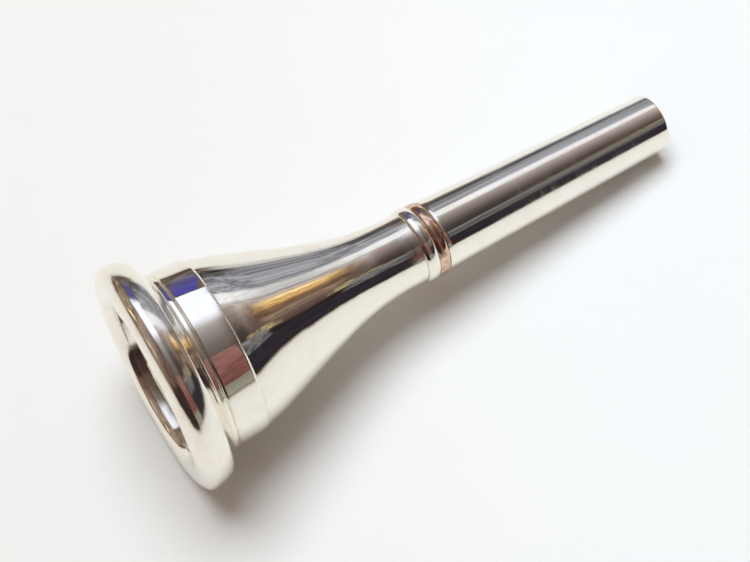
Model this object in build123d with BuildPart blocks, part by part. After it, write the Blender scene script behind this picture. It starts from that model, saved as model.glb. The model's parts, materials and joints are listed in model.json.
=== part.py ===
from build123d import *
from math import asin, atan2, cos, degrees, hypot, radians, sin, sqrt, tan
import os

# A horn mouthpiece in four turned parts and a spacer, all sharing one axis:
# a screw-on rim, a thin spacer ring, the cup, a copper ring and the tapered shank.
# Along the axis, x = 0 is the front of the rim and x grows towards the shank's tip.
# All lengths are in millimetres.

# ---- driving dimensions ----
LENGTH = 64.2                 # front of the rim to the end of the shank

# rim
RIM_R = 12.7                  # widest radius
RIM_CREST_R = 10.4            # radius of the rim's highest circle
RIM_WIDE_X = 1.45             # where the rim is widest
RIM_BACK_R = 3.4              # radius of the rounding behind the widest circle
RIM_BITE_X = 1.25             # where the inner lip turns into the bowl
RIM_BITE_R = 8.7
RIM_EDGE_X = 3.5              # corner between the rim's rounding and its back slope
RIM_SKIRT_X = 4.65            # back end of the rim
RIM_SKIRT_R = 10.15
RIM_SEAT_X = 1.9              # inner face that stands just off the cup's neck
RIM_SEAT_R = 8.55

# spacer ring between the rim and the cup
SPACER_END_X = 5.15
SPACER_R = 10.1
SPACER_BORE_R = 9.58

# cup
NECK_X = 1.95                 # front end of the threaded neck
NECK_BORE_R = 8.5
BAND_R = 10.05                # collar around the top of the cup
BAND_END_R = 9.9
BAND_END_X = 8.9
BAND_EDGE = 0.4               # rounding of the collar's edges
BELL_START_R = 9.58           # where the bell leaves the collar's rear edge
STEM_R = 4.05                 # slim end of the bell
STEM_X = 31.5
CUP_END_X = 33.05
BEAD_R = 4.36                 # silver bead at the cup's end
THROAT_R = 2.3
THROAT_X = 28.6

# copper ring
RING_END_X = 34.35
RING_R = 4.27
RING_FOOT_R = 4.0             # ends of the ring's rounded outside
RING_BORE_R = 3.46

# shank
SHANK_START_R = 4.15          # just behind the copper ring
TIP_R = 3.42
TIP_EDGE = 0.3                # rounding of the tip's outer edge
SPIGOT_X = 28.65              # front end of the threaded spigot
EXIT_R = 2.95                 # backbore at the tip
BACKBORE_X = 36.0             # where the backbore begins to open

# threads
PITCH = 0.75
FLANK = tan(radians(30))
ROOT_HALF = 0.08              # half the flat at the bottom of a groove
PLAY = 0.06                   # clearance between the two threads
RIM_THREAD_R = 9.45           # outer radius of the neck's thread
RIM_THREAD_DEPTH = 0.36
SHANK_THREAD_R = 3.35         # outer radius of the spigot's thread
SHANK_THREAD_DEPTH = 0.33
NUT_RUNOUT = 0.8              # plain groove at the bottom of a threaded hole
SCREW_RUNOUT = 0.6            # plain groove at the shoulder end of a screw
RELIEF = 0.05                 # how much deeper than the thread those grooves are
LEAD = 0.775                  # how far a groove starts outside the metal
THREAD_OVERCUT = 0.03         # how far a groove's mouth reaches past the thread's crest
RIM_THREAD_ANGLE = 90         # where around the axis a groove begins, in degrees
SHANK_SCREW_ANGLE = 140
SHANK_NUT_ANGLE = 290
LAND_X = 0.3                  # length of the plain land that centres the spacer ring
LAND_GAP = 0.08               # radial gap between a land and the ring on it

# ---- resting pose ----
# The mouthpiece lies on the rim's rounding and on the tip's rounded edge.
# Both are circles in the section, so their common tangent is the floor.
rim_centre = (RIM_WIDE_X, RIM_R - RIM_BACK_R)
tip_centre = (LENGTH - TIP_EDGE, TIP_R - TIP_EDGE)
run = tip_centre[0] - rim_centre[0]
fall = rim_centre[1] - tip_centre[1]
TILT = atan2(fall, run) + asin((RIM_BACK_R - TIP_EDGE) / hypot(run, fall))

lift = RIM_BACK_R + rim_centre[1] * cos(TILT) + rim_centre[0] * sin(TILT)
front_height = RIM_R - RIM_CREST_R
front_reach = hypot(RIM_WIDE_X * cos(TILT), front_height * sin(TILT))
low_x = RIM_WIDE_X * cos(TILT) - RIM_CREST_R * sin(TILT) - front_reach
high_x = tip_centre[0] * cos(TILT) + tip_centre[1] * sin(TILT) + TIP_EDGE
ORIGIN = Vector(-(low_x + high_x) / 2, 0, lift)
ALONG = Vector(cos(TILT), 0, -sin(TILT))

# sections are drawn on this plane: its x runs along the axis and its y is the radius
SECTION = Plane(origin=ORIGIN, x_dir=ALONG, z_dir=(0, -1, 0))
AXLE = Axis(ORIGIN, ALONG)


def thread_groove(phase_x, near_x, end_x, radius, depth, half_mouth, half_root, angle, outward):
    """Cut one helical groove into the part being built.

    The groove's mouth is at the given radius. It goes outward into a nut or
    inward into a screw. It would cross the section plane at phase_x. It begins
    the given angle round from there, on the turn nearest to near_x.
    """
    begin_x = phase_x + PITCH * angle / 360
    begin_x += round((near_x - begin_x) / PITCH) * PITCH
    centre = ORIGIN + ALONG * begin_x
    with BuildLine(mode=Mode.PRIVATE):
        path = Helix(PITCH, end_x - begin_x, radius, center=centre, direction=ALONG)
    start = path @ 0
    away = (start - centre).normalized()
    side = away if outward else away * -1
    across = Plane(origin=start, x_dir=ALONG, z_dir=ALONG.cross(side))
    wide = half_mouth + THREAD_OVERCUT * FLANK
    with BuildSketch(across) as cutter:
        with BuildLine():
            Polyline(
                (-wide, -THREAD_OVERCUT),
                (-half_root, depth),
                (half_root, depth),
                (wide, -THREAD_OVERCUT),
                close=True,
            )
        make_face()
    groove = sweep(sections=cutter.sketch, path=path, is_frenet=True, mode=Mode.PRIVATE)
    add(groove.rotate(AXLE, angle), mode=Mode.SUBTRACT)


def screw_groove(phase_x, near_x, end_x, radius, depth, angle):
    """Thread on the outside of a shaft."""
    mouth = ROOT_HALF + depth * FLANK
    thread_groove(
        phase_x, near_x, end_x, radius, depth, mouth, ROOT_HALF, angle, outward=False
    )


def nut_groove(phase_x, near_x, end_x, radius, depth, angle):
    """Thread inside a hole, half a pitch off the screw with the same phase_x."""
    ridge_tip = ROOT_HALF + PLAY * FLANK - PLAY
    mouth = PITCH / 2 - ridge_tip
    root = mouth - depth * FLANK
    thread_groove(
        phase_x + PITCH / 2, near_x, end_x, radius - depth, depth, mouth, root, angle,
        outward=True,
    )


def phase_of(nut_x, angle):
    """Phase of a thread whose nut groove begins at nut_x, the given angle round."""
    return nut_x - PITCH * angle / 360 - PITCH / 2


# ---- rim: rounded lip, back slope and a threaded skirt ----
rim_nut_r = RIM_THREAD_R + PLAY
rim_edge_r = rim_centre[1] + sqrt(RIM_BACK_R**2 - (RIM_EDGE_X - RIM_WIDE_X) ** 2)
skirt_chamfer = 0.12
rim_phase = phase_of(RIM_SEAT_X + NUT_RUNOUT / 2, RIM_THREAD_ANGLE)

with BuildPart() as rim:
    with BuildSketch(SECTION):
        with BuildLine():
            EllipticalCenterArc(
                (RIM_BITE_X, RIM_CREST_R),
                RIM_BITE_X,
                RIM_CREST_R - RIM_BITE_R,
                start_angle=180,
                arc_size=90,
            )
            EllipticalCenterArc(
                (RIM_WIDE_X, RIM_CREST_R),
                RIM_WIDE_X,
                front_height,
                start_angle=90,
                arc_size=90,
            )
            RadiusArc((RIM_WIDE_X, RIM_R), (RIM_EDGE_X, rim_edge_r), RIM_BACK_R)
            Polyline(
                (RIM_EDGE_X, rim_edge_r),
                (RIM_SKIRT_X - skirt_chamfer, RIM_SKIRT_R + skirt_chamfer),
                (RIM_SKIRT_X, RIM_SKIRT_R),
                (RIM_SKIRT_X, rim_nut_r - RIM_THREAD_DEPTH),
                (RIM_SEAT_X + NUT_RUNOUT, rim_nut_r - RIM_THREAD_DEPTH),
                (RIM_SEAT_X + NUT_RUNOUT, rim_nut_r + RELIEF),
                (RIM_SEAT_X, rim_nut_r + RELIEF),
                (RIM_SEAT_X, RIM_SEAT_R),
                (RIM_BITE_X, RIM_BITE_R),
            )
        make_face()
    revolve(axis=AXLE)
    nut_groove(
        rim_phase,
        RIM_SEAT_X + NUT_RUNOUT / 2,
        RIM_SKIRT_X + LEAD,
        rim_nut_r,
        RIM_THREAD_DEPTH,
        RIM_THREAD_ANGLE,
    )

# ---- spacer ring: a thin washer seated between the rim and the collar ----
spacer_chamfer = 0.08

with BuildPart() as spacer_ring:
    with BuildSketch(SECTION):
        with BuildLine():
            Polyline(
                (RIM_SKIRT_X, SPACER_BORE_R),
                (RIM_SKIRT_X, SPACER_R - spacer_chamfer),
                (RIM_SKIRT_X + spacer_chamfer, SPACER_R),
                (SPACER_END_X - spacer_chamfer, SPACER_R),
                (SPACER_END_X, SPACER_R - spacer_chamfer),
                (SPACER_END_X, SPACER_BORE_R),
                close=True,
            )
        make_face()
    revolve(axis=AXLE)

# ---- cup: threaded neck, collar, bell, bead and the bowl inside ----
neck_root_r = RIM_THREAD_R - RIM_THREAD_DEPTH
neck_chamfer = 0.25
neck_land_x = SPACER_END_X - LAND_X
neck_thread_end_x = neck_land_x - SCREW_RUNOUT
neck_land_r = SPACER_BORE_R - LAND_GAP
shank_nut_r = SHANK_THREAD_R + PLAY
shank_phase = phase_of(THROAT_X + NUT_RUNOUT / 2, SHANK_NUT_ANGLE)

with BuildPart() as cup:
    with BuildSketch(SECTION):
        with BuildLine():
            Polyline(
                (NECK_X, NECK_BORE_R),
                (NECK_X, RIM_THREAD_R - neck_chamfer),
                (NECK_X + neck_chamfer, RIM_THREAD_R),
                (neck_thread_end_x, RIM_THREAD_R),
                (neck_thread_end_x, neck_root_r - RELIEF),
                (neck_land_x, neck_root_r - RELIEF),
                (neck_land_x, neck_land_r),
                (SPACER_END_X, neck_land_r),
                (SPACER_END_X, BAND_R - BAND_EDGE),
            )
            RadiusArc(
                (SPACER_END_X, BAND_R - BAND_EDGE),
                (SPACER_END_X + BAND_EDGE, BAND_R),
                BAND_EDGE,
            )
            Line((SPACER_END_X + BAND_EDGE, BAND_R), (BAND_END_X - BAND_EDGE, BAND_END_R))
            RadiusArc(
                (BAND_END_X - BAND_EDGE, BAND_END_R),
                (BAND_END_X, BELL_START_R),
                BAND_EDGE,
            )
            Spline(
                (BAND_END_X, BELL_START_R),
                (13.6, 8.27),
                (20.1, 5.96),
                (25.6, 4.5),
                (STEM_X, STEM_R),
                tangents=[(1, -0.12), (1, 0)],
            )
            EllipticalCenterArc(
                ((STEM_X + CUP_END_X) / 2, STEM_R),
                (CUP_END_X - STEM_X) / 2,
                BEAD_R - STEM_R,
                start_angle=0,
                arc_size=180,
            )
            Polyline(
                (CUP_END_X, STEM_R),
                (CUP_END_X, shank_nut_r - SHANK_THREAD_DEPTH),
                (THROAT_X + NUT_RUNOUT, shank_nut_r - SHANK_THREAD_DEPTH),
                (THROAT_X + NUT_RUNOUT, shank_nut_r + RELIEF),
                (THROAT_X, shank_nut_r + RELIEF),
                (THROAT_X, THROAT_R),
            )
            Spline(
                (THROAT_X, THROAT_R),
                (24.0, 3.0),
                (18.0, 4.75),
                (10.0, 7.35),
                (NECK_X, NECK_BORE_R),
                tangents=[(-1, 0), (-1, 0.06)],
            )
        make_face()
    revolve(axis=AXLE)
    screw_groove(
        rim_phase,
        NECK_X - LEAD,
        neck_thread_end_x + SCREW_RUNOUT / 2,
        RIM_THREAD_R,
        RIM_THREAD_DEPTH,
        RIM_THREAD_ANGLE,
    )
    nut_groove(
        shank_phase,
        THROAT_X + NUT_RUNOUT / 2,
        CUP_END_X + LEAD,
        shank_nut_r,
        SHANK_THREAD_DEPTH,
        SHANK_NUT_ANGLE,
    )

# ---- copper ring: the second bead, held between the cup and the shank ----
with BuildPart() as copper_ring:
    with BuildSketch(SECTION):
        with BuildLine():
            EllipticalCenterArc(
                ((CUP_END_X + RING_END_X) / 2, RING_FOOT_R),
                (RING_END_X - CUP_END_X) / 2,
                RING_R - RING_FOOT_R,
                start_angle=0,
                arc_size=180,
            )
            Polyline(
                (RING_END_X, RING_FOOT_R),
                (RING_END_X, RING_BORE_R),
                (CUP_END_X, RING_BORE_R),
                (CUP_END_X, RING_FOOT_R),
            )
        make_face()
    revolve(axis=AXLE)

# ---- shank: threaded spigot, taper and backbore ----
spigot_root_r = SHANK_THREAD_R - SHANK_THREAD_DEPTH
spigot_chamfer = 0.2
spigot_thread_end_x = CUP_END_X - SCREW_RUNOUT / 2
spigot_land_x = CUP_END_X + SCREW_RUNOUT / 2
spigot_land_r = RING_BORE_R - LAND_GAP

with BuildPart() as shank:
    with BuildSketch(SECTION):
        with BuildLine():
            Polyline(
                (SPIGOT_X, THROAT_R),
                (SPIGOT_X, SHANK_THREAD_R - spigot_chamfer),
                (SPIGOT_X + spigot_chamfer, SHANK_THREAD_R),
                (spigot_thread_end_x, SHANK_THREAD_R),
                (spigot_thread_end_x, spigot_root_r - RELIEF),
                (spigot_land_x, spigot_root_r - RELIEF),
                (spigot_land_x, spigot_land_r),
                (RING_END_X, spigot_land_r),
                (RING_END_X, SHANK_START_R),
                (LENGTH - TIP_EDGE, TIP_R),
            )
            RadiusArc(
                (LENGTH - TIP_EDGE, TIP_R),
                (LENGTH, TIP_R - TIP_EDGE),
                TIP_EDGE,
            )
            Polyline(
                (LENGTH, TIP_R - TIP_EDGE),
                (LENGTH, EXIT_R),
                (BACKBORE_X, THROAT_R),
                (SPIGOT_X, THROAT_R),
            )
        make_face()
    revolve(axis=AXLE)
    screw_groove(
        shank_phase,
        SPIGOT_X - LEAD,
        CUP_END_X,
        SHANK_THREAD_R,
        SHANK_THREAD_DEPTH,
        SHANK_SCREW_ANGLE,
    )

# ---- labels and files ----
os.makedirs("parts", exist_ok=True)

rim.part.label = "rim"
spacer_ring.part.label = "spacer_ring"
cup.part.label = "cup"
copper_ring.part.label = "copper_ring"
shank.part.label = "shank"

export_step(rim.part, "parts/rim.step")
export_step(spacer_ring.part, "parts/spacer_ring.step")
export_step(cup.part, "parts/cup.step")
export_step(copper_ring.part, "parts/copper_ring.step")
export_step(shank.part, "parts/shank.step")

rim_travel = RIM_SKIRT_X - NECK_X
shank_travel = CUP_END_X - SPIGOT_X
print(f"tilt {degrees(TILT):.3f} deg, axis origin {ORIGIN}, direction {ALONG}")
print(f"rim: {rim_travel:.2f} mm, {rim_travel / PITCH:.2f} turns")
print(f"shank: {shank_travel:.2f} mm, {shank_travel / PITCH:.2f} turns")
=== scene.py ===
import json
import math

import bmesh
import bpy
import numpy as np
from mathutils import Matrix, Vector


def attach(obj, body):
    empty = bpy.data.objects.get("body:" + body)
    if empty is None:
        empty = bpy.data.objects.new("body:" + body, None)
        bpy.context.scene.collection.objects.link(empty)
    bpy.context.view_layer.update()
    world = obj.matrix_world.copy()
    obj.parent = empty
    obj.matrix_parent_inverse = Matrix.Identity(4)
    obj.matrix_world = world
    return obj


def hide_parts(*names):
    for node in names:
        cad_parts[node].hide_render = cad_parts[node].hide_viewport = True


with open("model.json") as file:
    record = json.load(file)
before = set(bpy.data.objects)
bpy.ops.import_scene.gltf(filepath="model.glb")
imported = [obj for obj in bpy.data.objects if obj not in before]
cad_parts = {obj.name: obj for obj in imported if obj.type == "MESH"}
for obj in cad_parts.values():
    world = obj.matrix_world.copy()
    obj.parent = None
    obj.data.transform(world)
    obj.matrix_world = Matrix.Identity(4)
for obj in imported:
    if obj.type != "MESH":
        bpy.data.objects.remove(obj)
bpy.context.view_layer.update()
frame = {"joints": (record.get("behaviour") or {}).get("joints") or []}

scene = bpy.context.scene

# The mouthpiece's own axis, from the middle of the rim's front towards the tip.
rim_joint = next(j for j in frame["joints"] if j["child"] == "rim")
AXIS_START = Vector(rim_joint["pos_m"])
ALONG = -Vector(rim_joint["axis"]).normalized()
TILT = math.atan2(-ALONG.z, ALONG.x)
ACROSS = Vector((-ALONG.z, 0, ALONG.x))
ASIDE = ALONG.cross(ACROSS)
MM = 0.001                    # metres in a millimetre
SEGMENTS = 192                # steps round each turned piece
SHARP = math.radians(32)      # edges bent by more than this stay sharp
SAME_POINT = 1e-5             # points of a profile nearer than this, in mm, are one

# ---- the mouthpiece's dimensions, in millimetres ----
# Along the axis, x = 0 is the front of the rim and x grows towards the shank's tip.
LENGTH = 64.2

# rim
RIM_R = 12.7                  # widest radius
RIM_CREST_R = 10.4            # radius of the rim's highest circle
RIM_WIDE_X = 1.45             # where the rim is widest
RIM_BACK_R = 3.4              # radius of the rounding behind the widest circle
RIM_BITE_X = 1.25             # where the inner lip turns into the bowl
RIM_BITE_R = 8.7
RIM_EDGE = (3.5, 12.01)       # corner between the rim's rounding and its back slope
RIM_SKIRT_X = 4.65            # back end of the rim
RIM_SKIRT_R = 10.15
RIM_SKIRT_CHAMFER = 0.12
RIM_SEAT_X = 1.9              # inner face that stands just off the cup's neck
RIM_SEAT_R = 8.55

# spacer ring between the rim and the cup
SPACER_END_X = 5.15
SPACER_R = 10.1
SPACER_BORE_R = 9.58

# cup
NECK_X = 1.95                 # front end of the threaded neck
NECK_BORE_R = 8.5
NECK_CHAMFER = 0.25
BAND_R = 10.05                # collar around the top of the cup
BAND_EDGE = 0.4               # rounding of the collar's front edge
BAND_REAR = (8.7, 9.892)      # the collar's rear corner, before it is rounded
BAND_END_X = 8.9
BELL_START_R = 9.58           # where the bell leaves the collar
STEM_R = 4.05                 # slim end of the bell
STEM_X = 31.5
CUP_END_X = 33.05
BEAD_R = 4.36                 # silver bead at the cup's end
THROAT_R = 2.3
THROAT_X = 28.6

# copper ring
RING_END_X = 34.35
RING_R = 4.27
RING_FOOT_R = 4.0             # ends of the ring's rounded outside
RING_BORE_R = 3.46

# shank
SHANK_START_R = 4.15          # just behind the copper ring
TIP_R = 3.42
TIP_EDGE = 0.3                # rounding of the tip's outer edge
SPIGOT_X = 28.65              # front end of the threaded spigot
SPIGOT_CHAMFER = 0.2
EXIT_R = 2.95                 # backbore at the tip
BACKBORE_X = 36.0             # where the backbore begins to open

# threads
PITCH = 0.75
FLANK = math.tan(math.radians(30))
ROOT_HALF = 0.08              # half the flat at the bottom of a groove
PLAY = 0.06                   # clearance between the two threads
RIM_THREAD_R = 9.45           # outer radius of the neck's thread
RIM_THREAD_DEPTH = 0.36
RIM_PHASE = 1.7375            # where a groove's middle crosses the section plane
SHANK_THREAD_R = 3.35         # outer radius of the spigot's thread
SHANK_THREAD_DEPTH = 0.33
SHANK_PHASE = 28.0208
NUT_RUNOUT = 0.8              # plain groove at the bottom of a threaded hole
SCREW_RUNOUT = 0.6            # plain groove at the shoulder end of a screw
RELIEF = 0.05                 # how much deeper than the thread those grooves are
LAND_X = 0.3                  # length of the plain land that centres the spacer ring
LAND_GAP = 0.08               # radial gap between a land and the ring on it


# ---- parts of a turned profile: points along the axis and out from it ----
def clamped_spline(knots, slope_start, slope_end, count):
    """Points on the smooth curve through the knots, with the slopes given at its ends."""
    x, y = np.array(knots, float).T
    n, h = len(x), np.diff(x)
    matrix, target = np.zeros((n, n)), np.zeros(n)
    matrix[0, 0] = matrix[-1, -1] = 1
    target[0], target[-1] = slope_start, slope_end
    for i in range(1, n - 1):
        matrix[i, i - 1 : i + 2] = 1 / h[i - 1], 2 / h[i - 1] + 2 / h[i], 1 / h[i]
        target[i] = 3 * ((y[i] - y[i - 1]) / h[i - 1] ** 2 + (y[i + 1] - y[i]) / h[i] ** 2)
    slopes = np.linalg.solve(matrix, target)
    points = []
    for q in np.linspace(x[0], x[-1], count):
        i = min(max(int(np.searchsorted(x, q)) - 1, 0), n - 2)
        t = (q - x[i]) / h[i]
        r = (2 * t**3 - 3 * t**2 + 1) * y[i] + (3 * t**2 - 2 * t**3) * y[i + 1]
        r += h[i] * ((t**3 - 2 * t**2 + t) * slopes[i] + (t**3 - t**2) * slopes[i + 1])
        points.append((float(q), float(r)))
    return points


def arc(centre, x_radius, y_radius, start, end, count):
    """Points on an ellipse's arc, angles in degrees from the axis direction."""
    angles = np.radians(np.linspace(start, end, count))
    return [
        (centre[0] + x_radius * math.cos(a), centre[1] + y_radius * math.sin(a)) for a in angles
    ]


def eased(before, corner, after, radius, count=5):
    """A corner between two straight runs, rounded with a small radius."""
    c = Vector(corner)
    a, b = (Vector(before) - c).normalized(), (Vector(after) - c).normalized()
    half = math.acos(max(-1, min(1, a.dot(b)))) / 2
    reach = radius / math.tan(half)
    middle = c + (a + b).normalized() * (radius / math.sin(half))
    p, q = c + a * reach - middle, c + b * reach - middle
    points = []
    for i in range(count):
        d = p.lerp(q, i / (count - 1)).normalized() * radius
        points.append(tuple(middle + d))
    return points


def line(start, end, count):
    """Evenly spaced points on a straight run."""
    return [tuple(p) for p in np.linspace(start, end, count)]


def on_line(start, end, x):
    """The point of a straight run that lies at x."""
    share = (x - start[0]) / (end[0] - start[0])
    return x, start[1] + share * (end[1] - start[1])


def thread(points, radius, depth, phase, inside):
    """A threaded stretch of a profile: a plain run of points that a helical groove cuts.

    The groove goes inward from the radius on a screw, and outward inside a nut, half
    a pitch off the screw with the same phase.
    """
    root = ROOT_HALF
    if inside:
        root = PITCH / 2 - (ROOT_HALF + PLAY * FLANK - PLAY) - depth * FLANK
        phase += PITCH / 2
    return {
        "points": points,
        "radius": radius,
        "depth": depth if inside else -depth,
        "mouth": root + depth * FLANK,
        "root": root,
        "phase": phase,
    }


def grooved(stretch, x, r, turn):
    """The radius after the groove has cut a point; turn is in whole turns round the axis."""
    if stretch is None:
        return r
    gap = abs((x - stretch["phase"] - PITCH * turn + PITCH / 2) % PITCH - PITCH / 2)
    share = (stretch["mouth"] - gap) / (stretch["mouth"] - stretch["root"])
    cut = stretch["radius"] + stretch["depth"] * min(max(share, 0), 1)
    return max(r, cut) if stretch["depth"] > 0 else min(r, cut)


def lathe(name, node, profile, material):
    """A turned piece: the closed profile swept once round the axis, with its threads cut."""
    rows = []
    for stretch in profile:
        if isinstance(stretch, dict):
            rows += [(x, r, stretch) for x, r in stretch["points"]]
        else:
            rows += [(x, r, None) for x, r in stretch]
    rows = [p for i, p in enumerate(rows) if math.dist(p[:2], rows[i - 1][:2]) > SAME_POINT]
    mesh = bpy.data.meshes.new(name)
    points, faces = [], []
    for x, r, stretch in rows:
        for k in range(SEGMENTS):
            turn = k / SEGMENTS
            reach = grooved(stretch, x, r, turn)
            angle = 2 * math.pi * turn
            out = ACROSS * math.cos(angle) + ASIDE * math.sin(angle)
            points.append(AXIS_START + (ALONG * x + out * reach) * MM)
    for i in range(len(rows)):
        for k in range(SEGMENTS):
            a, b = i * SEGMENTS, (i + 1) % len(rows) * SEGMENTS
            m = (k + 1) % SEGMENTS
            faces.append((a + k, b + k, b + m, a + m))
    mesh.from_pydata(points, [], faces)
    shape = bmesh.new()
    shape.from_mesh(mesh)
    bmesh.ops.recalc_face_normals(shape, faces=shape.faces)
    shape.to_mesh(mesh)
    shape.free()
    mesh.polygons.foreach_set("use_smooth", [True] * len(mesh.polygons))
    mesh.set_sharp_from_angle(angle=SHARP)
    mesh.materials.append(material)
    piece = bpy.data.objects.new(name, mesh)
    scene.collection.objects.link(piece)
    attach(piece, node)
    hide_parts(node)
    return piece


# ---- node helpers ----
def new_material(name):
    mat = bpy.data.materials.new(name)
    mat.use_nodes = True
    tree = mat.node_tree
    return mat, tree, tree.nodes["Principled BSDF"]


def add(tree, kind, inputs=None, **settings):
    node = tree.nodes.new(kind)
    for key, value in settings.items():
        setattr(node, key, value)
    for key, value in (inputs or {}).items():
        if isinstance(value, bpy.types.NodeSocket):
            tree.links.new(value, node.inputs[key])
        else:
            node.inputs[key].default_value = value
    return node


def math_node(tree, operation, a, b=0.0, clamp=False):
    node = add(tree, "ShaderNodeMath", {0: a, 1: b}, operation=operation, use_clamp=clamp)
    return node.outputs[0]


def smooth_step(tree, value, low, high, to_low=0.0, to_high=1.0):
    node = add(
        tree,
        "ShaderNodeMapRange",
        {"Value": value, "From Min": low, "From Max": high, "To Min": to_low, "To Max": to_high},
        interpolation_type="SMOOTHSTEP",
    )
    return node.outputs["Result"]


def mix_color(tree, factor, a, b, blend="MIX"):
    node = add(tree, "ShaderNodeMix", data_type="RGBA", blend_type=blend)
    for index, value in ((0, factor), (6, a), (7, b)):
        if isinstance(value, bpy.types.NodeSocket):
            tree.links.new(value, node.inputs[index])
        else:
            node.inputs[index].default_value = value
    return node.outputs[2]


def noise(tree, vector, scale, detail=2.0, roughness=0.5, distortion=0.0):
    node = add(
        tree,
        "ShaderNodeTexNoise",
        {
            "Vector": vector,
            "Scale": scale,
            "Detail": detail,
            "Roughness": roughness,
            "Distortion": distortion,
        },
    )
    return node.outputs["Fac"]


def lathe_space(tree):
    """Coordinates in metres along and across the mouthpiece's axis."""
    place = add(tree, "ShaderNodeTexCoord").outputs["Object"]
    moved = add(
        tree, "ShaderNodeVectorMath", {0: place, 1: AXIS_START}, operation="SUBTRACT"
    ).outputs[0]
    turned = add(
        tree,
        "ShaderNodeVectorRotate",
        {"Vector": moved, "Angle": -TILT},
        rotation_type="Y_AXIS",
    ).outputs[0]
    return turned


def stretched(tree, vector, x, y, z):
    return add(
        tree, "ShaderNodeVectorMath", {0: vector, 1: (x, y, z)}, operation="MULTIPLY"
    ).outputs[0]


# ---- polished metals ----
def stained_color(tree, where, base, stain, amount, grain):
    """The metal's colour with cloudy stains, and how stained each spot is."""
    spots = smooth_step(tree, noise(tree, where, grain, 4.0, 0.62, 0.6), 0.46, 0.66)
    clouds = smooth_step(tree, noise(tree, where, grain * 0.3, 2.0, 0.5), 0.4, 0.62, 0.4, 1.0)
    stained = math_node(tree, "MULTIPLY", math_node(tree, "MULTIPLY", spots, clouds), amount)
    haze = smooth_step(tree, noise(tree, where, 90.0, 3.0, 0.5), 0.35, 0.7, 0.0, 0.25)
    warmer = (base[0], base[1] * 0.97, base[2] * 0.91, 1.0)
    tinted = mix_color(tree, haze, (*base, 1.0), warmer)
    return mix_color(tree, stained, tinted, (*stain, 1.0)), stained


def rub_marks(tree, where, start, end):
    """Fine marks round the axis, from start to end along it, and the zone that they fill."""
    along = add(tree, "ShaderNodeSeparateXYZ", {0: where}).outputs[0]
    fade_in = smooth_step(tree, along, start, start + 0.006)
    fade_out = smooth_step(tree, along, end - 0.002, end, 1.0, 0.0)
    zone = math_node(tree, "MULTIPLY", fade_in, fade_out)
    fine = noise(tree, stretched(tree, where, 1.0, 0.035, 0.035), 6500.0, 3.0, 0.7)
    patches = smooth_step(tree, noise(tree, where, 260.0, 3.0), 0.34, 0.6, 0.25, 1.0)
    marks = math_node(tree, "MULTIPLY", smooth_step(tree, fine, 0.42, 0.66), patches)
    return math_node(tree, "MULTIPLY", marks, zone), zone


def turned_metal(name, base, stain, amount, grain, roughness, waves, rubbed=None):
    """Polished metal: faint turning rings, wipe marks, stains and slow waves.

    amount and grain say how strong and how fine the stains are, waves how deep the
    slow waves are in metres. rubbed is the start and end of a stretch with fine marks.
    """
    mat, tree, shader = new_material(name)
    shader.inputs["Metallic"].default_value = 1.0
    where = lathe_space(tree)
    color, stained = stained_color(tree, where, base, stain, amount, grain)
    tree.links.new(color, shader.inputs["Base Color"])

    rings = noise(tree, stretched(tree, where, 1.0, 0.03, 0.03), 7000.0, 4.0, 0.75)
    wipes = noise(tree, stretched(tree, where, 0.2, 1.0, 1.0), 3000.0, 4.0, 0.8, 0.6)
    rough = math_node(tree, "ADD", smooth_step(tree, wipes, 0.52, 0.8, 0.0, 0.05), roughness)
    rough = math_node(tree, "ADD", rough, math_node(tree, "MULTIPLY", stained, 0.15))
    height = math_node(tree, "MULTIPLY", rings, 0.3)
    if rubbed:
        marks, zone = rub_marks(tree, where, *rubbed)
        rough = math_node(tree, "ADD", rough, math_node(tree, "MULTIPLY", marks, 0.13))
        rough = math_node(tree, "ADD", rough, math_node(tree, "MULTIPLY", zone, 0.04))
        height = math_node(tree, "ADD", height, math_node(tree, "MULTIPLY", marks, 0.6))
    tree.links.new(rough, shader.inputs["Roughness"])

    slow = noise(tree, where, 260.0, 2.0, 0.45)
    wavy = add(tree, "ShaderNodeBump", {"Height": slow, "Strength": 1.0, "Distance": waves})
    bump = add(
        tree,
        "ShaderNodeBump",
        {"Height": height, "Strength": 0.12, "Distance": 0.00002, "Normal": wavy.outputs[0]},
    )
    tree.links.new(bump.outputs[0], shader.inputs["Normal"])
    return mat


SILVER = (0.92, 0.885, 0.79)
BEAD_STRETCH = (0.0255, 0.0355)       # end of the bell and the bead, in metres from the rim
SHANK_STRETCH = (0.0385, 0.0632)      # the taper, where a receiver has rubbed it

silver = turned_metal(
    "silver_plate", SILVER, (0.70, 0.56, 0.40), 0.12, 520.0, 0.03, 0.00003, BEAD_STRETCH
)
silver_rim = turned_metal(
    "silver_plate_rim", SILVER, (0.66, 0.52, 0.38), 0.20, 420.0, 0.11, 0.00012
)
silver_shank = turned_metal(
    "silver_plate_shank", SILVER, (0.72, 0.60, 0.44), 0.14, 520.0, 0.06, 0.00002, SHANK_STRETCH
)
copper = turned_metal(
    "bare_copper", (0.78, 0.56, 0.42), (0.26, 0.13, 0.085), 0.8, 900.0, 0.12, 0.00015
)


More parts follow.
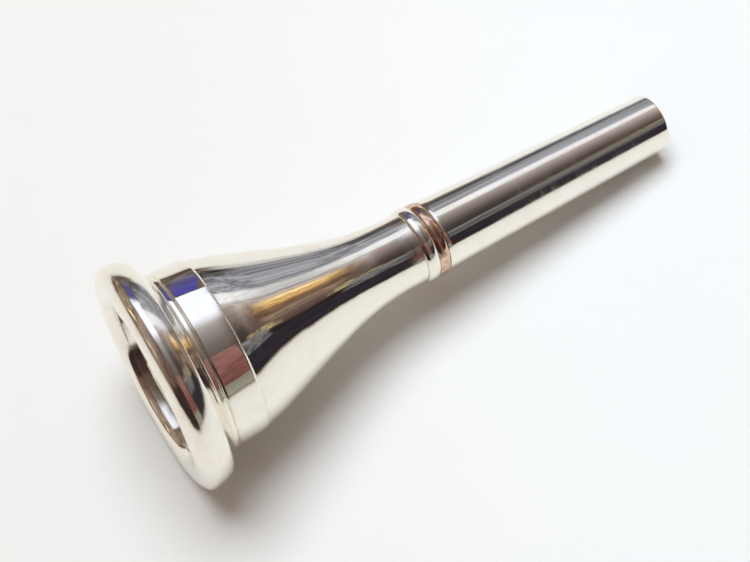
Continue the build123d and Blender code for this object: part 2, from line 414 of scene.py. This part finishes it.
# ---- the five turned pieces ----
def rim_profile():
    """Rounded lip, back slope and threaded skirt, down to the seat above the cup's neck."""
    back_r = RIM_R - RIM_BACK_R
    before_edge = (3.3, 12.15)
    slope_end = (RIM_SKIRT_X - RIM_SKIRT_CHAMFER, RIM_SKIRT_R + RIM_SKIRT_CHAMFER)
    skirt = (RIM_SKIRT_X, RIM_SKIRT_R)
    crest_r = RIM_THREAD_R + PLAY - RIM_THREAD_DEPTH
    thread_end_x = RIM_SEAT_X + NUT_RUNOUT
    relief_r = RIM_THREAD_R + PLAY + RELIEF
    return [
        arc((RIM_BITE_X, RIM_CREST_R), RIM_BITE_X, RIM_CREST_R - RIM_BITE_R, 270, 180, 24),
        arc((RIM_WIDE_X, RIM_CREST_R), RIM_WIDE_X, RIM_R - RIM_CREST_R, 180, 90, 32),
        arc((RIM_WIDE_X, back_r), RIM_BACK_R, RIM_BACK_R, 90, 54, 24),
        eased(before_edge, RIM_EDGE, slope_end, radius=0.12),
        eased(RIM_EDGE, slope_end, skirt, radius=0.06),
        eased(slope_end, skirt, (RIM_SKIRT_X, crest_r), radius=0.03),
        thread(
            line((RIM_SKIRT_X, crest_r), (thread_end_x, crest_r), 38),
            crest_r,
            RIM_THREAD_DEPTH,
            RIM_PHASE,
            inside=True,
        ),
        [(thread_end_x, relief_r), (RIM_SEAT_X, relief_r), (RIM_SEAT_X, RIM_SEAT_R)],
    ]


def spacer_profile():
    """A thin washer with eased outer edges."""
    front_bore = (RIM_SKIRT_X, SPACER_BORE_R)
    front = (RIM_SKIRT_X, SPACER_R)
    back = (SPACER_END_X, SPACER_R)
    back_bore = (SPACER_END_X, SPACER_BORE_R)
    return [
        [front_bore],
        eased(front_bore, front, back, radius=0.08),
        eased(front, back, back_bore, radius=0.08),
        [back_bore],
    ]


def cup_profile():
    """Threaded neck, collar, bell, bead and rear socket, with the bowl inside."""
    neck = (NECK_X, RIM_THREAD_R - NECK_CHAMFER)
    neck_top = (NECK_X + NECK_CHAMFER, RIM_THREAD_R)
    land_x = SPACER_END_X - LAND_X
    land_r = SPACER_BORE_R - LAND_GAP
    neck_end_x = land_x - SCREW_RUNOUT
    relief_r = RIM_THREAD_R - RIM_THREAD_DEPTH - RELIEF
    collar_start = (SPACER_END_X + BAND_EDGE, BAND_R)
    collar_end = (BAND_END_X, BELL_START_R + 0.02)
    socket_r = SHANK_THREAD_R + PLAY - SHANK_THREAD_DEPTH
    socket_end_x = THROAT_X + NUT_RUNOUT
    socket_relief_r = SHANK_THREAD_R + PLAY + RELIEF
    bell = [(BAND_END_X, BELL_START_R), (13.6, 8.27), (20.1, 5.96), (25.6, 4.5), (STEM_X, STEM_R)]
    bowl = [(NECK_X, NECK_BORE_R), (10, 7.35), (18, 4.75), (24, 3.0), (THROAT_X, THROAT_R)]
    return [
        [(NECK_X, NECK_BORE_R)],
        thread(
            line(neck, neck_top, 6) + line(neck_top, (neck_end_x, RIM_THREAD_R), 40),
            RIM_THREAD_R,
            RIM_THREAD_DEPTH,
            RIM_PHASE,
            inside=False,
        ),
        [(neck_end_x, relief_r), (land_x, relief_r), (land_x, land_r), (SPACER_END_X, land_r)],
        arc((collar_start[0], BAND_R - BAND_EDGE), BAND_EDGE, BAND_EDGE, 180, 91, 9),
        eased(collar_start, BAND_REAR, collar_end, radius=0.22, count=8),
        clamped_spline(bell, slope_start=-0.12, slope_end=0, count=80),
        arc(
            ((STEM_X + CUP_END_X) / 2, STEM_R),
            (CUP_END_X - STEM_X) / 2,
            BEAD_R - STEM_R,
            180,
            0,
            28,
        ),
        thread(
            line((CUP_END_X, socket_r), (socket_end_x, socket_r), 70),
            socket_r,
            SHANK_THREAD_DEPTH,
            SHANK_PHASE,
            inside=True,
        ),
        [(socket_end_x, socket_relief_r), (THROAT_X, socket_relief_r)],
        clamped_spline(bowl, slope_start=-0.06, slope_end=0, count=80)[::-1],
    ]


def copper_ring_profile():
    """A narrow rounded ring with a plain bore."""
    return [
        arc(
            ((CUP_END_X + RING_END_X) / 2, RING_FOOT_R),
            (RING_END_X - CUP_END_X) / 2,
            RING_R - RING_FOOT_R,
            180,
            0,
            28,
        ),
        [(RING_END_X, RING_BORE_R), (CUP_END_X, RING_BORE_R)],
    ]


def shank_profile():
    """Threaded spigot, tapered outside, rounded tip and backbore."""
    spigot = (SPIGOT_X, SHANK_THREAD_R - SPIGOT_CHAMFER)
    spigot_top = (SPIGOT_X + SPIGOT_CHAMFER, SHANK_THREAD_R)
    spigot_end_x = CUP_END_X - SCREW_RUNOUT / 2
    land_x = CUP_END_X + SCREW_RUNOUT / 2
    land_r = RING_BORE_R - LAND_GAP
    relief_r = SHANK_THREAD_R - SHANK_THREAD_DEPTH - RELIEF
    shoulder = (RING_END_X, SHANK_START_R)
    tip = (LENGTH - TIP_EDGE, TIP_R)
    exit_edge = (LENGTH, EXIT_R)
    backbore_start = (BACKBORE_X, THROAT_R)
    return [
        [(SPIGOT_X, THROAT_R)],
        thread(
            line(spigot, spigot_top, 5) + line(spigot_top, (spigot_end_x, SHANK_THREAD_R), 74),
            SHANK_THREAD_R,
            SHANK_THREAD_DEPTH,
            SHANK_PHASE,
            inside=False,
        ),
        [(spigot_end_x, relief_r), (land_x, relief_r), (land_x, land_r), (RING_END_X, land_r)],
        eased((RING_END_X, land_r), shoulder, tip, radius=0.07),
        line(on_line(shoulder, tip, 35.0), on_line(shoulder, tip, 63.7), 30),
        arc((tip[0], TIP_R - TIP_EDGE), TIP_EDGE, TIP_EDGE, 88, 0, 10),
        eased((LENGTH, TIP_R - TIP_EDGE), exit_edge, backbore_start, radius=0.05),
        line(on_line(exit_edge, backbore_start, 63.9), backbore_start, 20),
    ]


lathe("screw_rim", "rim", rim_profile(), silver_rim)
lathe("spacer_ring_turned", "spacer_ring", spacer_profile(), silver)
lathe("cup_turned", "cup", cup_profile(), silver)
lathe("copper_ring_turned", "copper_ring", copper_ring_profile(), copper)
lathe("shank_turned", "shank", shank_profile(), silver_shank)


# ---- floor ----
FLOOR_HALF = 1.5              # half the floor's side, in metres
# painted shade and painted light: the floor's darker, warmer left end and its brighter, cooler
# right end
FLOOR_SHADED_WARM = (0.835, 0.82, 0.815, 1)
FLOOR_LIT_COOL = (0.87, 0.885, 0.91, 1)


def floor_material():
    """Matt white, with painted shade and painted light: darker and warmer on the left of the view,
    brighter and cooler on its right.
    """
    mat, tree, shader = new_material("floor_white_painted_falloff")
    place = add(tree, "ShaderNodeTexCoord").outputs["Object"]
    grain = noise(tree, place, 60.0, 4.0, 0.6)
    across = add(tree, "ShaderNodeSeparateXYZ", {0: place})
    rightward = math_node(
        tree, "SUBTRACT", across.outputs[0], math_node(tree, "MULTIPLY", across.outputs[1], 0.6)
    )
    # painted shade on the left of the view, painted light on its right
    tint = mix_color(
        tree, smooth_step(tree, rightward, -0.045, 0.03), FLOOR_SHADED_WARM, FLOOR_LIT_COOL
    )
    speckle = smooth_step(tree, grain, 0.3, 0.7, 0.0, 0.03)
    tree.links.new(
        mix_color(tree, speckle, tint, (0.7, 0.7, 0.7, 1)), shader.inputs["Base Color"]
    )
    shader.inputs["Roughness"].default_value = 0.6
    shader.inputs["Specular IOR Level"].default_value = 0.2
    return mat


floor_mesh = bpy.data.meshes.new("floor")
floor_corners = [
    (x * FLOOR_HALF, y * FLOOR_HALF, 0) for x, y in ((-1, -1), (1, -1), (1, 1), (-1, 1))
]
floor_mesh.from_pydata(floor_corners, [], [(0, 1, 2, 3)])
floor_mesh.materials.append(floor_material())
floor = bpy.data.objects.new("floor", floor_mesh)
scene.collection.objects.link(floor)


# ---- studio: cards seen only in reflections, one soft key light and a pale dome ----
CARD_REACH = 0.66             # distance of the first card, in metres
CARD_STEP = 0.004             # how much nearer each next card is
CARD_SPLIT = 2                # degrees that one face of a card spans
CARD_SOFT = (0.04, 0.04, 0.04, 0.04)


def card_material(name, low, high, mottle, scale, soft):
    """An emitting card: its colour runs from low to high, with blotches and soft edges."""
    mat = bpy.data.materials.new(name)
    mat.use_nodes = True
    tree = mat.node_tree
    tree.nodes.clear()
    place = add(tree, "ShaderNodeTexCoord")
    u, v, _ = add(tree, "ShaderNodeSeparateXYZ", {0: place.outputs["UV"]}).outputs
    spread = stretched(tree, place.outputs["Object"], 0.55, 1.0, 1.0)
    spots = noise(tree, spread, scale, 4.0, 0.6, 0.8)
    strength = smooth_step(tree, spots, 0.36, 0.64, 1.0, 1.0 - mottle)
    tone = mix_color(tree, math_node(tree, "MULTIPLY", v, v), (*low, 1.0), (*high, 1.0))
    cover = 1.0
    for share, at, end in zip(soft, (v, v, u, u), (0.0, 1.0, 0.0, 1.0)):
        if share:
            edge = (0.0, share, 0.0, 1.0) if end == 0.0 else (1 - share, 1.0, 1.0, 0.0)
            cover = math_node(tree, "MULTIPLY", cover, smooth_step(tree, at, *edge))
    glow = add(tree, "ShaderNodeEmission", {"Color": tone, "Strength": strength})
    clear = add(tree, "ShaderNodeBsdfTransparent")
    blend = add(tree, "ShaderNodeMixShader", {0: cover, 1: clear.outputs[0], 2: glow.outputs[0]})
    out = tree.nodes.new("ShaderNodeOutputMaterial")
    tree.links.new(blend.outputs[0], out.inputs[0])
    return mat


def card(name, span, sides, low, high, mottle=0.2, scale=6.0, soft=CARD_SOFT):
    """A curved card round the object, each one a little nearer than the one before.

    span is two angles from overhead, positive towards +Y; sides is two angles
    towards -X and +X. All are in degrees. low and high are the colours at the start
    and the end of span. mottle and scale say how strong and how fine the blotches
    are. soft is the share that fades out at the start and end of span and of sides.
    """
    reach = CARD_REACH - CARD_STEP * len(cards)
    x0, x1 = (reach * math.tan(math.radians(a)) for a in sides)
    steps = max(3, int((span[1] - span[0]) / CARD_SPLIT))
    points, faces, uvs = [], [], []
    for i in range(steps + 1):
        angle = math.radians(span[0] + (span[1] - span[0]) * i / steps)
        y, z = reach * math.sin(angle), reach * math.cos(angle)
        points += [(x0, y, z), (x1, y, z)]
        if i:
            faces.append((2 * i - 2, 2 * i - 1, 2 * i + 1, 2 * i))
            uvs += [(0, (i - 1) / steps), (1, (i - 1) / steps), (1, i / steps), (0, i / steps)]
    mesh = bpy.data.meshes.new(name)
    mesh.from_pydata(points, [], faces)
    layer = mesh.uv_layers.new(name="card")
    for loop, uv in zip(layer.data, uvs):
        loop.uv = uv
    mesh.materials.append(card_material(name, low, high, mottle, scale, soft))
    panel = bpy.data.objects.new(name, mesh)
    scene.collection.objects.link(panel)
    panel.visible_camera = False
    panel.visible_diffuse = False
    panel.visible_shadow = False
    cards.append(panel)


WINDOW = (1.08, 1.15, 1.4)
WINDOW_SIDE = (1.06, 1.10, 1.22)
LAMP = (1.6, 1.3, 0.8)
LAMP_SIDE = (1.4, 1.3, 1.1)
LAMP_SOFT = (0.2, 0.2, 0.2, 0.2)
cards = []

# the dim room all round
card("card_room", (-88, 88), (-80, 70), (0.10, 0.08, 0.07), (0.22, 0.16, 0.11), 0.4, 6.0, ())
card("card_room_far", (30, 88), (-80, 4), (0.50, 0.39, 0.31), (0.40, 0.30, 0.22), 0.8, 9.0)
card("card_room_over", (-42, 32), (-80, -8), (0.22, 0.125, 0.11), (0.66, 0.52, 0.45), 0.6, 9.0)
card("card_room_near", (-88, -38), (-80, 2), (0.045, 0.03, 0.032), (0.09, 0.045, 0.045), 0.5, 7.0,
     (0.0, 0.15, 0.0, 0.03))
card("card_room_low", (-88, -34), (18, 70), (0.03, 0.025, 0.03), (0.06, 0.045, 0.04), 0.5, 7.0)

# the ceiling, darker and warmer to the side
card("card_ceiling", (-46, 12), (-18, 70), (0.12, 0.098, 0.09), (0.76, 0.74, 0.78), 0.1, 5.0,
     (0.05, 0.0, 0.2, 0.0))
card("card_ceiling_side", (-44, 16), (20, 44), (0.052, 0.039, 0.037), (0.55, 0.47, 0.48), 0.15, 9.0,
     (0.0, 0.1, 0.25, 0.3))
card("card_ceiling_warm", (-44, 16), (31, 70), (0.135, 0.093, 0.09), (0.68, 0.57, 0.56), 0.25, 9.0,
     (0.0, 0.1, 0.3, 0.0))

# the bright window and its side
card("card_window", (-5, 47), (-17, 28), WINDOW, WINDOW, 0.05, 4.0, (0.3, 0.02, 0.35, 0.14))
card("card_window_side", (9, 41), (22, 68), WINDOW_SIDE, WINDOW_SIDE, 0.2, 14.0,
     (0.35, 0.2, 0.02, 0.9))

# things on the far side: a grey wall, a dark gap, a bright table edge, blue and brown
card("card_far_grey", (31, 84), (19, 70), (0.48, 0.50, 0.60), (0.36, 0.36, 0.43), 0.6, 16.0,
     (0.14, 0.06, 0.06, 0.0))
card("card_far_dark", (64, 82), (18, 37), (0.15, 0.145, 0.155), (0.07, 0.07, 0.075), 0.8, 18.0,
     (0.4, 0.1, 0.1, 0.45))
card("card_far_edge", (81, 91), (18, 70), (0.55, 0.56, 0.60), (0.90, 0.91, 0.97), 0.1, 8.0,
     (0.3, 0.0, 0.1, 0.0))
card("card_far_blue", (47, 76), (3, 18), (0.09, 0.09, 0.47), (0.24, 0.21, 0.27), 0.35, 7.0,
     (0.04, 0.0, 0.45, 0.05))
card("card_far_brown", (74, 88), (-6, 18), (0.24, 0.20, 0.20), (0.09, 0.075, 0.07), 0.6, 16.0,
     (0.1, 0.1, 0.1, 0.05))

# warm lamplight beyond the tip
card("card_amber", (-38, 8), (36, 70), (0.19, 0.12, 0.08), (0.50, 0.28, 0.14), 0.6, 14.0,
     (0.4, 0.3, 0.4, 0.0))
card("card_gold", (-15, 9), (49, 70), (1.0, 0.58, 0.22), (2.0, 1.6, 0.84), 0.6, 16.0,
     (0.35, 0.3, 0.3, 0.0))
card("card_beige", (-58, -22), (51, 68), (0.10, 0.065, 0.06), (0.62, 0.44, 0.35), 0.4, 14.0,
     (0.2, 0.25, 0.2, 0.1))

# things on the near side, below the ceiling
card("card_brick", (-76, -37), (-1, 23), (0.25, 0.105, 0.10), (0.38, 0.20, 0.19), 0.3, 12.0,
     (0.02, 0.05, 0.04, 0.03))
card("card_strip", (-88, -75), (-1, 21), (0.34, 0.34, 0.30), (0.26, 0.25, 0.22), 0.15, 9.0)
card("card_yellow", (-52, -37), (33, 57), (0.56, 0.48, 0.27), (0.28, 0.19, 0.10), 0.7, 12.0,
     (0.15, 0.3, 0.25, 0.12))
card("card_green_grey", (-62, -41), (23, 53), (0.20, 0.20, 0.22), (0.34, 0.34, 0.34), 0.6, 14.0,
     (0.05, 0.25, 0.08, 0.15))
card("card_near_dark", (-87, -60), (21, 70), (0.033, 0.028, 0.040), (0.036, 0.030, 0.042), 0.3,
     6.0, (0.08, 0.08, 0.06, 0.0))

# two small lamps that light the rim's left
card("card_lamp", (48, 74), (-53, -47), LAMP, LAMP, 0.6, 20.0, LAMP_SOFT)
card("card_lamp_side", (8, 48), (-68, -63), LAMP_SIDE, LAMP_SIDE, 0.7, 20.0, LAMP_SOFT)

# a large soft light from above and behind
KEY_PLACE = Vector((0.08, 0.16, 0.75))
key = bpy.data.lights.new("key", "AREA")
key.shape = "DISK"
key.size = 0.58
key.energy = 6.25
key.color = (0.895, 0.965, 1.0)
key_object = bpy.data.objects.new("key", key)
key_object.location = KEY_PLACE
key_object.rotation_mode = "QUATERNION"
key_object.rotation_quaternion = (-KEY_PLACE).to_track_quat("-Z", "Y")
key_object.visible_glossy = False
scene.collection.objects.link(key_object)

# a warm dome fills the shadows
world = bpy.data.worlds.new("studio")
world.use_nodes = True
background = world.node_tree.nodes["Background"]
background.inputs["Color"].default_value = (1.0, 0.78, 0.61, 1.0)
background.inputs["Strength"].default_value = 0.265
scene.world = world
scene.view_settings.view_transform = "Standard"

# ---- camera ----
CAMERA_PLACE = (-0.02841, -0.07827, 0.14031)
FORWARD = Vector((0.1508, 0.4981, -0.8539)).normalized()
UPWARD = Vector((0.5245, 0.6919, 0.4962))

camera_data = bpy.data.cameras.new("camera")
camera_data.sensor_width = 36.0
camera_data.lens = 69.6
camera_data.clip_start = 0.001
camera_data.clip_end = 10.0
camera = bpy.data.objects.new("camera", camera_data)
camera.location = CAMERA_PLACE
rightward = FORWARD.cross(UPWARD).normalized()
camera.rotation_mode = "QUATERNION"
camera.rotation_quaternion = (
    Matrix((rightward, rightward.cross(FORWARD), -FORWARD)).transposed().to_quaternion()
)
scene.collection.objects.link(camera)
scene.camera = camera
